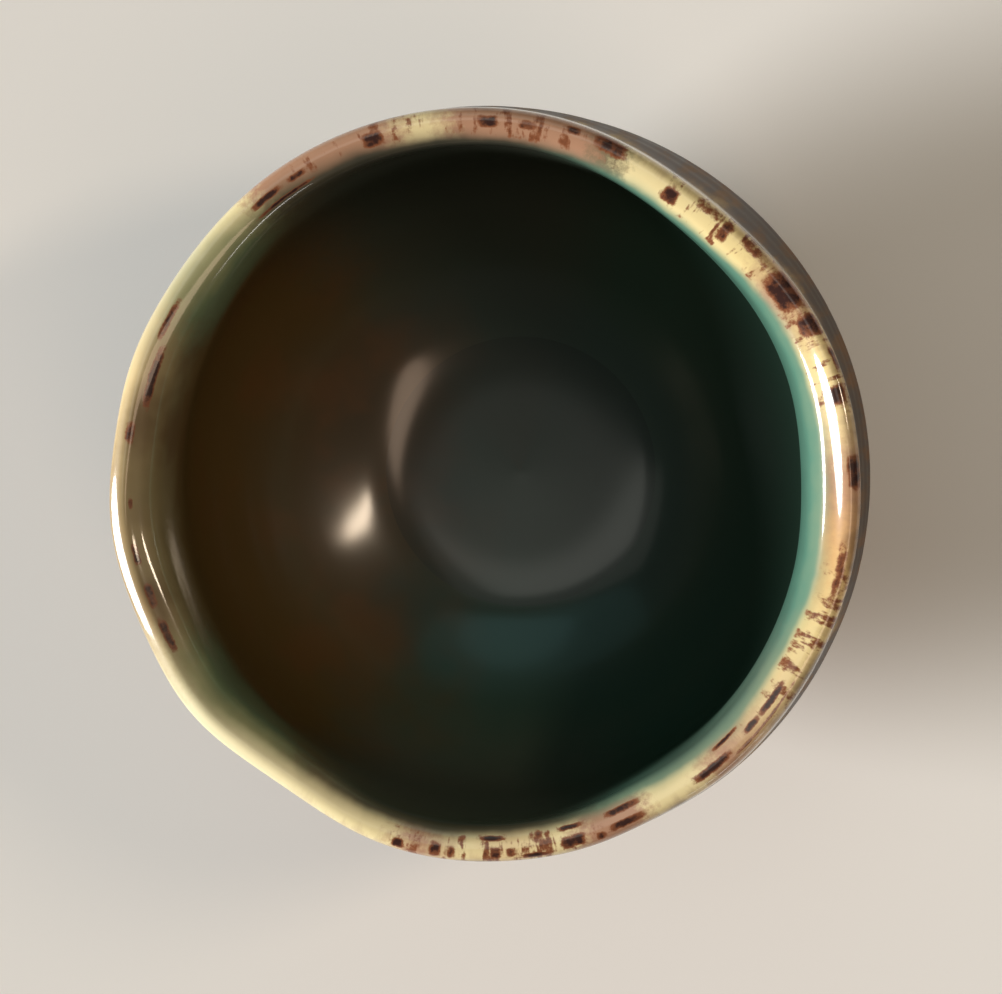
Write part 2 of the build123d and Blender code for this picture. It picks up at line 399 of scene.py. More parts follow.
side = np.where(reach > foot_middle, 1, -1)
foot_ring = turned_piece("foot_ring_turned", reach + side * (waver + turning) * free, rise)
foot_clay = clay_material("turned_foot", (0.255, 0.130, 0.068), (0.135, 0.066, 0.038), 0.10 * MM)
finish_piece(foot_ring, foot_clay, "foot_ring")

# The luting slip: wet clay that glued the ring to the bowl and squeezed out along both sides of it.
# A fingertip smoothed the bead, so its face is hollow and its size wanders.
BEAD_WANDER = 0.30 * MM
BEAD_GRIT = 0.10 * MM
slip_low, slip_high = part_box("foot_slip")
bead_reach = slip_high.x - foot_outside
bead_height = slip_high.z - slip_low.z
bead_shares = np.linspace(0, 1, 12)
bead_rise = slip_low.z + bead_height * bead_shares
outer_bead = np.stack([foot_outside + bead_reach * bead_shares**2, bead_rise], axis=1)
inner_bead = np.stack([foot_inside - bead_reach * bead_shares**2, bead_rise], axis=1)
seat = np.array([(foot_inside, foot_high.z), (foot_outside, foot_high.z)])
slip_path = np.concatenate([outer_bead, inner_bead[::-1], seat])
reach = np.repeat(slip_path[:, :1], AROUND, axis=1)
rise = np.repeat(slip_path[:, 1:], AROUND, axis=1)
proud = np.where(reach > foot_outside, 1, np.where(reach < foot_inside, -1, 0))
squeeze = grain(reach, 0 * rise, 6 * MM, 21.0) * BEAD_WANDER
squeeze += grain(reach, rise, 1.6 * MM, 2.0) * BEAD_GRIT
foot_slip = turned_piece("foot_slip_bead", reach + proud * squeeze, rise)
slip_clay = clay_material("luting_slip", (0.285, 0.160, 0.090), (0.165, 0.086, 0.050), 0.08 * MM)
finish_piece(foot_slip, slip_clay, "foot_slip")

# The inside glaze: a thick teal coat, poured into the cup and fused to its clay, pale where it thins
# towards the lip and nearly black below. It keeps the faint rings of the potter's fingers. Its left side
# is painted olive, a painted reflection of warm light from the right.
INSIDE_COAT = 0.45 * MM
INSIDE_RINGS = 120
BACK_RINGS = 14  # rings on the hidden back of a coat
SKIN_START = 7 * MM  # height above the outside glaze's lowest point at which the skin starts
POOL_INSET = 0.4 * MM  # how far in from its solid's edge the pool's rim shows
GLAZE_SOFTNESS = (  # distance from the lip, width of the averaging
    (0, 0.45 * MM),
    (8 * MM, 1.2 * MM),
    (15 * MM, 4.0 * MM),
    (40 * MM, 4.0 * MM),
    (45 * MM, 3.0 * MM),
    (56 * MM, 3.0 * MM),
)
THROWING_DEPTH = 0.003 * MM
THROWING_PITCH = 5.2 * MM
GLAZE_WAVE = 0.012 * MM  # the glaze flowed unevenly, so its reflections are bent
GLAZE_RIPPLE = 0.003 * MM
EVEN_BELOW_LIP = 6 * MM  # distances over which the glaze runs smooth at its two ends
EVEN_ABOVE_POOL = 8 * MM
outside_low, outside_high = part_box("outside_glaze")
lip_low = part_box("lip_glaze")[0]
glazed_skin = read_skin(
    ["outside_glaze", "lip_glaze", "inside_glaze", "glaze_pool"],
    outside_low.z + SKIN_START,
    pool_high.z + 0.05 * MM,
    GLAZE_SOFTNESS,
    False,
)
seam_level = (lip_low.z + outside_high.z) / 2
mean_rise = glazed_skin["rise"].mean(axis=1)
inner = glazed_skin["along"] > 0
lip_inner_end = glazed_skin["along"][inner & (mean_rise < seam_level)][0]
lip_outer_end = glazed_skin["along"][~inner & (mean_rise < seam_level)][-1]
in_pool = glazed_skin["reach"].mean(axis=1) < pool_high.x - POOL_INSET
pool_edge = glazed_skin["along"][inner & in_pool][0]

inside_along = np.linspace(lip_inner_end, pool_edge, INSIDE_RINGS)
under_along = np.linspace(pool_edge, lip_inner_end, BACK_RINGS)
reach, rise = pick(glazed_skin, inside_along)
spiral = np.sin(inside_along[:, None] / THROWING_PITCH * 2 * math.pi + directions(AROUND))
flow = grain(reach, rise, 6 * MM, 31.0) * GLAZE_WAVE + grain(reach, rise, 2.2 * MM, 17.0) * GLAZE_RIPPLE
fade = np.clip((inside_along - lip_inner_end) / EVEN_BELOW_LIP, 0, 1)
fade *= np.clip((pool_edge - inside_along) / EVEN_ABOVE_POOL, 0, 1)
inside_lift = (spiral * THROWING_DEPTH + flow) * fade[:, None]
face_reach, face_rise = pick(glazed_skin, inside_along, inside_lift)
back_reach, back_rise = pick(glazed_skin, under_along, -INSIDE_COAT)
inside_glaze = turned_piece(
    "inside_glaze_coat", np.concatenate([face_reach, back_reach]), np.concatenate([face_rise, back_rise])
)


def colours_along(tree, value, stops):
    """Colours that follow a value, from pairs of a value and its colour."""
    low, high = stops[0][0], stops[-1][0]
    sockets = {"Value": value, "From Min": low, "From Max": high}
    share = place(tree, "ShaderNodeMapRange", sockets).outputs["Result"]
    node = place(tree, "ShaderNodeValToRGB", {"Fac": share})
    elements = node.color_ramp.elements
    elements[0].color = (*stops[0][1], 1)
    elements[1].color = (*stops[-1][1], 1)
    for stop, colour in stops[1:-1]:
        elements.new((stop - low) / (high - low)).color = (*colour, 1)
    return node.outputs["Color"]


def vectors(tree, operation, sockets):
    """The result of a Vector Math node."""
    return place(tree, "ShaderNodeVectorMath", sockets, operation=operation).outputs[0]


# All glazes by distance from the lip's crest in mm: iron outside, cream on the lip, teal inside
glaze_colours, given, result = new_group(
    "glaze_colours",
    {"Iron": "value", "Mottle": "value", "Cream Start": "value", "Cream End": "value"},
    {"Colour": "colour", "Roughness": "value", "Gloss": "value"},
)
tree = glaze_colours
from_lip = place(tree, "ShaderNodeAttribute", attribute_name="from_lip").outputs["Fac"]
spot = place(tree, "ShaderNodeTexCoord").outputs["Object"]
drift = cloud(tree, spot, 150.0)
fine = cloud(tree, spot, 1300.0, 4.0, 0.65)
around = place(tree, "ShaderNodeTexGradient", {"Vector": spot}, gradient_type="RADIAL").outputs["Fac"]
turned = sums(tree, "ADD", around, ease(tree, fine, 0.3, 0.7, -0.004, 0.004))
in_degrees = {"Value": turned, "To Min": -180.0, "To Max": 180.0}
direction = place(tree, "ShaderNodeMapRange", in_degrees).outputs["Result"]

# Inside: teal, with its left side painted olive as a painted reflection, and stretches that differ under
# the lip, two of them painted shade and one painted light
depth = sums(tree, "ADD", from_lip, ease(tree, drift, 0.25, 0.75, -1.0, 1.0))
teal = colours_along(tree, depth, [
    (0.5, (0.190, 0.280, 0.185)),
    (3.5, (0.100, 0.235, 0.172)),
    (6.5, (0.068, 0.172, 0.128)),
    (9.5, (0.044, 0.102, 0.072)),
    (14.0, (0.028, 0.066, 0.044)),
    (20.0, (0.032, 0.068, 0.046)),
    (45.0, (0.024, 0.048, 0.038)),
])
# Painted reflection: olive and brown colours for the left wall, where it reflects warm light from the right
olive = colours_along(tree, depth, [
    (0.5, (0.310, 0.240, 0.120)),
    (2.5, (0.230, 0.180, 0.090)),
    (6.0, (0.150, 0.112, 0.048)),
    (12.0, (0.106, 0.067, 0.021)),
    (22.0, (0.094, 0.054, 0.015)),
    (45.0, (0.054, 0.037, 0.016)),
])
green = colours_along(tree, depth, [
    (0.5, (0.300, 0.300, 0.150)),
    (3.0, (0.150, 0.195, 0.105)),
    (12.0, (0.040, 0.056, 0.028)),
])
# Painted shade: darker, greyer colours for the inner walls above and below, which take less light
painted_shade_above = colours_along(tree, depth, [
    (0.5, (0.100, 0.085, 0.055)),
    (3.0, (0.046, 0.046, 0.034)),
    (12.0, (0.040, 0.046, 0.034)),
])
painted_shade_below = colours_along(tree, depth, [
    (0.5, (0.120, 0.105, 0.065)),
    (3.0, (0.080, 0.080, 0.052)),
    (12.0, (0.072, 0.071, 0.052)),
])
# Painted light: a lighter teal that runs deeper on the lower right wall, where the window light falls
painted_light_teal = colours_along(tree, depth, [
    (0.5, (0.215, 0.275, 0.180)),
    (4.0, (0.130, 0.205, 0.150)),
    (8.0, (0.072, 0.130, 0.096)),
    (14.0, (0.040, 0.078, 0.054)),
])
RED_BROWN = (0.098, 0.046, 0.015, 1)
REFLECTION_SLANT = -0.05  # the edge between olive and teal runs a little askew
sideways, forward, _ = place(tree, "ShaderNodeSeparateXYZ", {0: spot}).outputs
slanted = sums(tree, "ADD", sideways, sums(tree, "MULTIPLY", forward, REFLECTION_SLANT))
red_brown_patches = ease(tree, cloud(tree, spot, 90.0), 0.45, 0.65, 0.0, 0.6)
olive = over(tree, red_brown_patches, olive, RED_BROWN)
reflection_edge = sums(tree, "ADD", slanted, ease(tree, cloud(tree, spot, 70.0), 0.25, 0.75, -5 * MM, 5 * MM))
# Painted reflection: the left side of the inside takes the olive colours, with red-brown patches, as a
# reflection of warm light
inside_colour = over(tree, ease(tree, reflection_edge, -2 * MM, -17 * MM), teal, olive)
# Painted shade and light in some stretches: the walls above and below are painted darker, and the lower
# right a lighter teal where the window falls; the green stretches are the glaze's own colour
STRETCHES = (  # direction and half width in degrees, depth in mm, colour
    (100.0, 44.0, 60.0, painted_shade_above),
    (-94.0, 36.0, 40.0, painted_shade_below),
    (-44.0, 28.0, 24.0, painted_light_teal),
    (-138.0, 20.0, 13.0, green),
    (141.0, 18.0, 12.0, green),
)
for middle, half_width, lowest, colour in STRETCHES:
    from_middle = sums(tree, "ABSOLUTE", sums(tree, "SUBTRACT", direction, middle))
    near_middle = ease(tree, from_middle, half_width, half_width / 3)
    stretch = sums(tree, "MULTIPLY", near_middle, ease(tree, depth, lowest, lowest / 2))
    inside_colour = over(tree, stretch, inside_colour, colour)

# Outside: iron, dark with lighter streaks that run down
hanging = vectors(tree, "MULTIPLY", {0: spot, 1: (1, 1, 0.12)})
streaks = cloud(tree, hanging, 420.0, 5.0, 0.6)
broad_streaks = cloud(tree, hanging, 120.0)
run_down = sums(tree, "ADD", from_lip, ease(tree, broad_streaks, 0.25, 0.75, -6.0, 6.0))
dark_iron = colours_along(tree, run_down, [
    (-42.0, (0.012, 0.010, 0.007)),
    (-34.0, (0.026, 0.015, 0.010)),
    (-20.0, (0.036, 0.020, 0.012)),
    (-6.0, (0.040, 0.022, 0.013)),
    (-2.0, (0.110, 0.060, 0.026)),
])
light_iron = colours_along(tree, run_down, [
    (-42.0, (0.040, 0.024, 0.012)),
    (-30.0, (0.120, 0.056, 0.022)),
    (-14.0, (0.165, 0.082, 0.030)),
    (-6.0, (0.180, 0.100, 0.042)),
    (-2.0, (0.400, 0.280, 0.120)),
])
outside_colour = over(tree, ease(tree, streaks, 0.42, 0.66), dark_iron, light_iron)

# Lip: cream that changes round the mouth, broken by bars and marks of iron, and darker at its outer edge,
# partly thin glaze and partly painted shade away from the window on the left
CREAM = (0.780, 0.670, 0.370)
DULL_CREAM = (0.600, 0.560, 0.360)
PALE_CREAM = (0.780, 0.710, 0.460)
YELLOW = (0.780, 0.630, 0.300)
YELLOW_TAN = (0.720, 0.560, 0.300)
ORANGE_TAN = (0.660, 0.410, 0.180)
PINK_TAN = (0.430, 0.240, 0.150)
BROWN_TAN = (0.400, 0.285, 0.145)
GREY_OLIVE = (0.170, 0.145, 0.085)
THIN_AND_SHADED_EDGE = (0.300, 0.180, 0.115, 1)
RUSTY_IRON = (0.230, 0.080, 0.034, 1)
BLACK_IRON = (0.036, 0.013, 0.010, 1)
lip_colour = colours_along(tree, direction, [
    (-180.0, BROWN_TAN),
    (-160.0, BROWN_TAN),
    (-142.0, PALE_CREAM),
    (-106.0, CREAM),
    (-100.0, PINK_TAN),
    (-93.0, CREAM),
    (-85.0, YELLOW_TAN),
    (-77.0, CREAM),
    (-72.0, PINK_TAN),
    (-64.0, PINK_TAN),
    (-61.0, CREAM),
    (-54.0, CREAM),
    (-48.0, PINK_TAN),
    (-36.0, YELLOW_TAN),
    (-22.0, YELLOW),
    (-10.0, ORANGE_TAN),
    (2.0, PINK_TAN),
    (10.0, YELLOW_TAN),
    (20.0, YELLOW),
    (33.0, PINK_TAN),
    (40.0, YELLOW),
    (64.0, CREAM),
    (68.0, GREY_OLIVE),
    (73.0, PINK_TAN),
    (93.0, PINK_TAN),
    (99.0, CREAM),
    (105.0, PINK_TAN),
    (127.0, PINK_TAN),
    (131.0, CREAM),
    (143.0, DULL_CREAM),
    (164.0, YELLOW_TAN),
    (180.0, BROWN_TAN),
])
LIP_REACH = 36.0  # so that one unit round the lip is about a millimetre
BAR_STRETCH = 0.3  # bars of iron are longer across the lip than round it
level_spot = vectors(tree, "MULTIPLY", {0: spot, 1: (1, 1, 0)})
outwards = vectors(tree, "NORMALIZE", {0: level_spot})
round_lip = vectors(tree, "SCALE", {0: outwards, "Scale": LIP_REACH})
stretched = sums(tree, "MULTIPLY", from_lip, BAR_STRETCH)
across_lip = place(tree, "ShaderNodeCombineXYZ", {"Z": stretched}).outputs[0]
lip_place = vectors(tree, "ADD", {0: round_lip, 1: across_lip})
bars = cloud(tree, lip_place, 0.75, 3.0, 0.6)
drifted = sums(tree, "ADD", from_lip, ease(tree, drift, 0.2, 0.8, -0.4, 0.4))
past_end = sums(tree, "SUBTRACT", drifted, given["Cream End"])
mottled = sums(tree, "MULTIPLY", given["Mottle"], ease(tree, bars, 0.46, 0.66, 0.0, 0.58))
mottled = sums(tree, "MULTIPLY", mottled, ease(tree, past_end, 0.6, -0.3))
iron = sums(tree, "MAXIMUM", given["Iron"], mottled)
fraying = sums(tree, "MULTIPLY", ease(tree, fine, 0.3, 0.7, -0.22, 0.22), ease(tree, iron, 0.0, 0.25))
ragged = sums(tree, "ADD", iron, fraying)
# Thin glaze and painted shade: the lip's outer edge is darkened everywhere but on its left side, which
# faces the window
thin_edge = sums(tree, "ADD", from_lip, ease(tree, bars, 0.3, 0.7, -0.7, 0.7))
thinning = ease(tree, thin_edge, -0.8, -2.1, 0.0, 0.32)
thin_and_shaded_mask = sums(tree, "MULTIPLY", thinning, ease(tree, sideways, -22 * MM, -12 * MM))
thin_and_shaded_lip = over(tree, thin_and_shaded_mask, lip_colour, THIN_AND_SHADED_EDGE)
green_cream = over(tree, 0.45, inside_colour, lip_colour)
greening = over(tree, ease(tree, past_end, -1.0, 0.3, 0.0, 0.8), thin_and_shaded_lip, green_cream)
lip_to_inside = over(tree, ease(tree, past_end, -0.2, 1.1), greening, inside_colour)
rusty_lip = over(tree, ease(tree, ragged, 0.08, 0.55), lip_to_inside, RUSTY_IRON)
broken_lip = over(tree, ease(tree, ragged, 0.45, 1.0), rusty_lip, BLACK_IRON)
before_start = sums(tree, "SUBTRACT", from_lip, given["Cream Start"])
before_start = sums(tree, "ADD", before_start, ease(tree, broad_streaks, 0.3, 0.7, -0.8, 0.8))
lip_to_outside = over(tree, ease(tree, before_start, 0.2, -1.2), broken_lip, outside_colour)
tree.links.new(lip_to_outside, result["Colour"])

# Finish: the lip and the pool are the glossiest, and the outside is the driest
outside_roughness = ease(tree, streaks, 0.40, 0.70, 0.42, 0.58)
inside_roughness = ease(tree, from_lip, 1.0, 4.0, 0.34, 0.38)
roughness_share = ease(tree, from_lip, -4.5, -2.2)
roughness_gap = sums(tree, "SUBTRACT", inside_roughness, outside_roughness)
roughness_mix = sums(tree, "MULTIPLY", roughness_gap, roughness_share)
tree.links.new(sums(tree, "ADD", outside_roughness, roughness_mix), result["Roughness"])
wall_gloss = ease(tree, from_lip, 3.0, 9.0, 1.0, 0.25)
lip_gloss = sums(tree, "MULTIPLY", ease(tree, from_lip, -4.3, -2.4), wall_gloss)
pool_gloss = ease(tree, from_lip, 35.0, 44.0, 0.0, 0.75)
tree.links.new(sums(tree, "ADD", lip_gloss, pool_gloss), result["Gloss"])

CREAM_SPANS = np.array([  # direction in degrees, and where the cream starts and ends, in mm from the crest
    (0, -1.6, 0.4),
    (20, -2.0, 1.1),
    (45, -2.0, 1.6),
    (80, -1.9, 1.4),
    (110, -2.0, 0.5),
    (140, -2.6, -0.8),
    (165, -2.8, -0.9),
    (195, -3.0, -0.9),
    (215, -3.0, -0.4),
    (240, -2.8, 0.5),
    (260, -1.9, 0.6),
    (285, -1.9, 0.8),
    (330, -1.8, 0.9),
    (350, -1.6, 0.6),
])


def keep_values(piece, name, values):
    """Keeps a value on each point of a piece, for its material to read."""
    kept = piece.data.attributes.new(name, "FLOAT", "POINT")
    kept.data.foreach_set("value", np.ascontiguousarray(values, dtype=np.float32).ravel())


def keep_glaze(piece, from_crest, iron, mottle):
    """Keeps on each point of a glaze its place across the lip, and how much iron broke through there."""
    count = from_crest.shape[1]
    degrees = np.degrees(directions(count))
    keep_values(piece, "from_lip", from_crest / MM)
    keep_values(piece, "iron", np.broadcast_to(iron, from_crest.shape))
    keep_values(piece, "mottle", np.broadcast_to(mottle, from_crest.shape))
    for number, name in ((1, "cream_start"), (2, "cream_end")):
        limit = np.interp(degrees, CREAM_SPANS[:, 0], CREAM_SPANS[:, number], period=360)
        keep_values(piece, name, np.broadcast_to(limit, from_crest.shape))


def kept_glaze(tree):
    """The glaze's colour, roughness and gloss, from what a piece keeps on its points."""
    kept = {"Iron": "iron", "Mottle": "mottle", "Cream Start": "cream_start", "Cream End": "cream_end"}
    for socket, name in kept.items():
        kept[socket] = place(tree, "ShaderNodeAttribute", attribute_name=name).outputs["Fac"]
    return use_group(tree, glaze_colours, kept)


def glaze_material(name, coat_roughness):
    """A glaze under clear glass, which takes its colour and finish from its distance to the lip."""
    clear_glass = {
        "IOR": 1.5,
        "Specular IOR Level": 0.15,
        "Coat IOR": 1.5,
        "Coat Roughness": coat_roughness,
    }
    material, tree, shader = new_material(name, clear_glass)
    glaze = kept_glaze(tree)
    tree.links.new(glaze["Colour"], shader["Base Color"])
    tree.links.new(glaze["Roughness"], shader["Roughness"])
    tree.links.new(glaze["Gloss"], shader["Coat Weight"])
    return material


inside_crest = np.repeat(np.concatenate([inside_along, under_along])[:, None], AROUND, axis=1)
keep_glaze(inside_glaze, inside_crest, 0.0, 0.0)
finish_piece(inside_glaze, glaze_material("teal_inside", 0.15), "inside_glaze")

# The pool: glaze that ran down the wall, gathered on the floor as thick dark blue glass and fused to it.
# Its surface is drawn up a little at the edge, where it meets the coat on the wall.
POOL_RINGS = 60
POOL_BACK_RINGS = 16
DEEP_BLUE = (0.008, 0.012, 0.011)
CLOUDY_BLUE = (0.012, 0.020, 0.020)
pool_along = np.linspace(pool_edge, glazed_skin["along"][-1], POOL_RINGS)
face_reach, face_rise = pick(glazed_skin, pool_along)
from_axis = (face_reach / face_reach[0]) ** 2
face_rise = from_axis * face_rise + (1 - from_axis) * face_rise.mean(axis=1, keepdims=True)
back_edge = face_reach[0] - 0.1 * MM
back_reach = np.linspace(0, 1, POOL_BACK_RINGS)[:, None] * back_edge
back_rise = np.full_like(back_reach, pool_low.z + 0.05 * MM)
glaze_pool = turned_piece(
    "glaze_pool_glass",
    np.concatenate([back_reach, face_reach]),
    np.concatenate([back_rise, face_rise]),
    poles=True,
)
keep_values(glaze_pool, "from_lip", np.full(len(glaze_pool.data.vertices), pool_edge / MM))
pool_glass = glaze_material("pooled_glass", 0.15)
tree = pool_glass.node_tree
shader = tree.nodes["Principled BSDF"].inputs
wall_colour = shader["Base Color"].links[0].from_socket
spot = place(tree, "ShaderNodeTexCoord").outputs["Object"]
pool_colour = colours_along(tree, cloud(tree, spot, 160.0), [(0.3, DEEP_BLUE), (0.7, CLOUDY_BLUE)])
tree.links.new(over(tree, 0.4, wall_colour, pool_colour), shader["Base Color"])
finish_piece(glaze_pool, pool_glass, "glaze_pool")

# The outside glaze: an iron glaze, fused to the wall, that the cup was dipped into, askew, while it was
# held by the foot. It ran in amber streaks, and stopped above the foot in a thick rolled edge with runs.
EDGE_ROLL = 0.9 * MM  # distance over which the glaze rounds off at its edge
ROLL_SWELL = 0.40 * MM  # how much thicker it is just above its edge
ROLL_FADE = 2 * MM  # distance over which that dies away upwards
RUN_SWELL = 0.22 * MM  # how much thicker it is along a run of RUN_LENGTH
RUN_LENGTH = 3 * MM
RUN_FADE = 9 * MM
EDGE_WAVER = 0.5 * MM
RIDGE_DEPTH = 0.05 * MM  # the potter's finger rings, softened under the glaze
RIDGE_PITCH = 4.6 * MM
RIDGES_FROM = 0.2  # share of the way down by which the ridges are full
COAT_TO_CLAY = 0.35  # share of the way down over which the face leaves the glazed skin for the clay's
GLAZE_RUNS = (  # direction and half width in degrees, length in metres
    (18, 6, 1.6 * MM),
    (47, 5, 3.2 * MM),
    (83, 7, 1.2 * MM),
    (121, 5, 2.6 * MM),
    (152, 6, 1.5 * MM),
    (197, 5, 3.6 * MM),
    (229, 7, 1.4 * MM),
    (262, 5, 2.4 * MM),
    (288, 6, 1.1 * MM),
    (318, 5, 3.0 * MM),
    (343, 5, 1.3 * MM),
)
outside_coat = outside_high.x - clay_high.x


def lowest_line(name):
    """The slanting line on which a CAD node ends at its foot, as a level in each direction."""
    points = np.array([vertex.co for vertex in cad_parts[name].data.vertices])
    sector = (np.arctan2(points[:, 1], points[:, 0]) % (2 * math.pi) / (2 * math.pi) * READINGS).astype(int)
    lowest = np.array([points[sector == number, 2].min() for number in range(READINGS)])
    waves = np.fft.rfft(lowest)
    waves[2:] = 0  # a slanting line is a mean level and one wave
    return np.fft.irfft(waves, n=AROUND) * (AROUND / READINGS)


def degrees_from(middle, count):
    """How many degrees each direction lies from a middle one, on either side of it."""
    return (np.degrees(directions(count)) - middle + 180) % 360 - 180


def nearness(middle, half_width, count=AROUND):
    """How near each direction is to a middle one: 1 there, and falling away over the half width."""
    return np.exp(-((degrees_from(middle, count) / half_width) ** 2))


edge_level = lowest_line("outside_glaze")
edge_level += grain(np.full((1, AROUND), clay_high.x), np.zeros((1, AROUND)), 5 * MM, 4.0)[0] * EDGE_WAVER
run_shape = np.zeros(AROUND)
for middle, half_width, length in GLAZE_RUNS:
    edge_level -= nearness(middle, half_width) * length
    run_shape += nearness(middle, half_width) * length / RUN_LENGTH
base_ring = int(np.argmax(clay_skin["reach"].mean(axis=1) > foot_outside + bead_reach))
crest_ring = int(np.argmin(np.abs(clay_skin["along"])))
wall = slice(base_ring, crest_ring)
edge_along = np.array([
    np.interp(edge_level[column], clay_skin["rise"][wall, column], clay_skin["along"][wall])
    for column in range(AROUND)
])
down = np.concatenate([np.linspace(0, 0.955, 105), np.linspace(0.96, 1, 18)])  # close at the rolled edge
out_along = lip_outer_end + down[:, None] * (edge_along - lip_outer_end)
to_edge = out_along - edge_along
rounding = np.sqrt(np.clip(1 - (1 - np.clip(to_edge / EDGE_ROLL, 0, 1)) ** 2, 0, 1))
swell = ROLL_SWELL * np.exp(-((to_edge / ROLL_FADE) ** 2))
swell += RUN_SWELL * run_shape * np.exp(-to_edge / RUN_FADE)
ridges = np.sin(out_along / RIDGE_PITCH * 2 * math.pi + directions(AROUND)) * RIDGE_DEPTH
ridges *= np.clip(down / RIDGES_FROM, 0, 1)[:, None]
clay_reach, clay_rise = pick(clay_skin, out_along, (outside_coat + swell + ridges) * rounding)
coat_reach, coat_rise = pick(glazed_skin, out_along, ridges)
lower = np.clip(down[:, None] / COAT_TO_CLAY, 0, 1)
upper = 1 - lower * lower * (3 - 2 * lower)
face_reach = upper * coat_reach + (1 - upper) * clay_reach
face_rise = upper * coat_rise + (1 - upper) * clay_rise
back_down = np.linspace(0, 1, BACK_RINGS)
back_along = lip_outer_end + back_down[:, None] * (edge_along - lip_outer_end)
back_reach, back_rise = pick(clay_skin, back_along, -0.1 * MM)
outside_glaze = turned_piece(
    "outside_glaze_coat",
    np.concatenate([back_reach, face_reach[::-1]]),
    np.concatenate([back_rise, face_rise[::-1]]),
)
keep_glaze(outside_glaze, np.concatenate([back_along, out_along[::-1]]), 0.0, 0.0)
finish_piece(outside_glaze, glaze_material("iron_outside", 0.15), "outside_glaze")

# The lip glaze: the rim was dipped once more, and its cream glaze is broken by iron that bled through
# from the clay. It is fused over the lip as a cap, and runs into the coats on both sides.
LIP_AROUND = 2 * AROUND
LIP_RINGS = 84
LIP_BACK_RINGS = 24
LIP_COAT = 0.4 * MM
LIP_SWELLS = (  # direction and half width in degrees; place across the lip, half width and height in mm
    (0, 1000, -1.2, 1.1, 0.10),
    (0, 1000, 1.4, 1.2, -0.28),
    (197, 36, -2.1, 0.5, 0.24),
    (197, 36, -0.6, 0.8, 0.28),
    (15, 16, -1.2, 0.9, 0.60),
    (-2, 17, -1.75, 0.9, 0.78),
)
IRON_MARKS = (  # degrees round the lip, mm across it, half length in degrees, half width in mm, strength
    (2.5, -1.55, 2.5, 0.40, 1.0),
    (14.5, -0.85, 1.5, 0.80, 1.0),
    (20, -1.6, 2.0, 0.25, 0.8),
    (26, -0.95, 1.8, 0.90, 0.9),
    (32.5, -0.65, 3.3, 1.20, 1.0),
    (40.5, -1.1, 3.0, 0.60, 0.5),
    (46, -0.45, 1.0, 1.10, 0.8),
    (50, -1.1, 2.5, 0.60, 0.5),
    (56.5, 0.2, 1.4, 0.75, 1.0),
    (68.5, -0.9, 2.6, 0.80, 0.9),
    (75, -0.9, 1.2, 0.40, 0.8),
    (82, -0.3, 1.5, 0.40, 0.8),
    (88.5, -0.3, 1.6, 0.50, 1.0),
    (107, -0.1, 1.6, 0.65, 1.0),
    (120.5, -0.1, 1.6, 0.28, 1.0),
    (126.5, -0.1, 2.8, 0.28, 1.0),
    (124, 1.0, 5.5, 0.20, 1.0),
    (152, -0.2, 3.5, 0.30, 0.8),
    (162, 0.5, 5.0, 0.42, 1.0),
    (171.5, -0.55, 1.8, 0.40, 0.8),
    (183, 0.0, 1.0, 0.20, 0.7),
    (191.5, -0.1, 1.6, 0.28, 1.0),
    (198.5, 0.0, 2.0, 0.35, 0.9),
    (205.5, 0.0, 2.8, 0.35, 0.9),
    (257, -1.0, 1.0, 0.50, 1.0),
    (263, -0.75, 0.9, 0.75, 0.9),
    (265.5, -0.8, 0.6, 0.70, 0.8),
    (272, 0.65, 2.2, 0.28, 1.0),
    (272.5, -0.75, 0.9, 0.60, 0.9),
    (275, -0.8, 0.7, 0.50, 0.8),
    (279, -1.3, 2.5, 0.30, 0.9),
    (285, -0.65, 1.9, 0.55, 1.0),
    (285, 0.75, 1.9, 0.28, 1.0),
    (289.5, -1.0, 0.6, 0.40, 0.8),
    (294, -0.75, 3.0, 0.35, 1.0),
    (294, 0.6, 3.0, 0.35, 1.0),
    (310, -0.5, 3.5, 0.38, 1.0),
    (319, -0.2, 1.6, 0.30, 1.0),
    (324.5, -0.2, 3.0, 0.30, 1.0),
    (321, -1.0, 7.0, 0.12, 0.9),
    (314.5, 0.75, 2.5, 0.20, 1.0),
    (347, -1.1, 4.5, 0.35, 0.6),
)
MOTTLED_STRETCHES = (  # direction and half width in degrees
    (20, 10),
    (45, 12),
    (84, 14),
    (112, 11),
    (266, 10),
    (281, 8),
    (335, 16),
)
lip_along = np.linspace(lip_outer_end, lip_inner_end, LIP_RINGS)
lip_swell = np.zeros((len(lip_along), AROUND))
for middle, half_width, place_across, half_across, height in LIP_SWELLS:
    across = np.exp(-(((lip_along / MM - place_across) / half_across) ** 2))
    lip_swell += across[:, None] * nearness(middle, half_width) * height * MM
face_reach, face_rise = pick(glazed_skin, lip_along, lip_swell)
under_lip = np.linspace(lip_inner_end, lip_outer_end, LIP_BACK_RINGS)
back_reach, back_rise = pick(glazed_skin, under_lip, -LIP_COAT)


def finer(rings):
    """Rings with LIP_AROUND points in place of AROUND."""
    return np.fft.irfft(np.fft.rfft(rings, axis=1), n=LIP_AROUND, axis=1) * (LIP_AROUND / AROUND)


